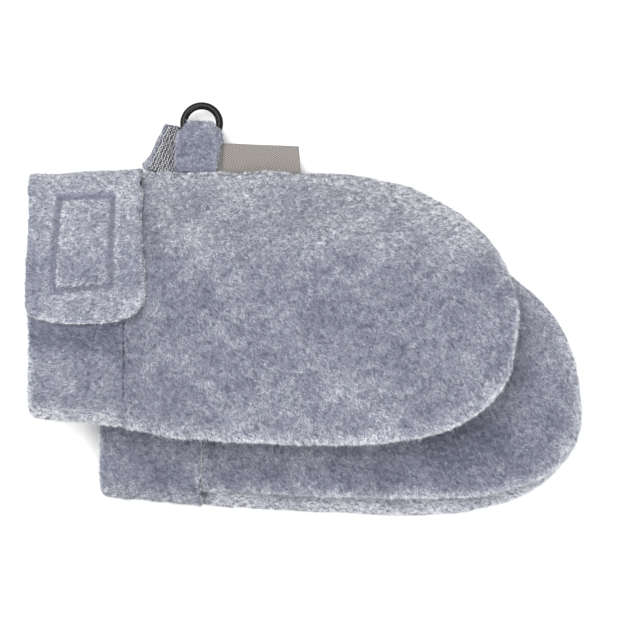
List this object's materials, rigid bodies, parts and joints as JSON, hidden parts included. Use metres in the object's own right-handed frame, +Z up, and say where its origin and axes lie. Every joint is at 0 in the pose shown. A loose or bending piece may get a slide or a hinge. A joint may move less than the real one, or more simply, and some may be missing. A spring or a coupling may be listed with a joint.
{
  "type": "pair of baby mittens",
  "caption": "Pair of thumbless baby mittens in heathered fleece with wrap-over closing tabs, laid flat one across the other, one with a hanging loop and ring.",
  "frame": {"origin": "centre of the bounding box of the whole pair, on the surface that the pair lies on", "axes": "+X from the cuffs to the tips, +Y towards the closing edges, +Z up"},
  "size_m": [0.1688, 0.1274, 0.0276],
  "materials": {
    "fleece": "heathered short-pile fleece, light blue-grey",
    "loop_tape": "knitted loop tape, speckled grey",
    "woven_label": "woven twill, taupe",
    "ring_metal": "glossy black"
  },
  "bodies": {
    "mittens": {"lower_back": "fleece", "lower_cuff": "fleece", "lower_front": "fleece", "lower_tab": "fleece", "upper_back": "fleece", "upper_cuff": "fleece", "upper_front": "fleece", "upper_tab": "fleece", "upper_hang_loop": "fleece", "upper_underlap": "fleece", "upper_loop_tape": "loop_tape", "upper_label": "woven_label"},
    "ring": {"upper_ring": "ring_metal"}
  },
  "joints": [
    {"name": "ring_turn", "type": "hinge", "parent": "mittens", "child": "ring", "pos_m": [-0.03228, 0.05704, 0.0058], "axis": [0, 0.1392, 0.9903], "continuous": true}
  ]
}
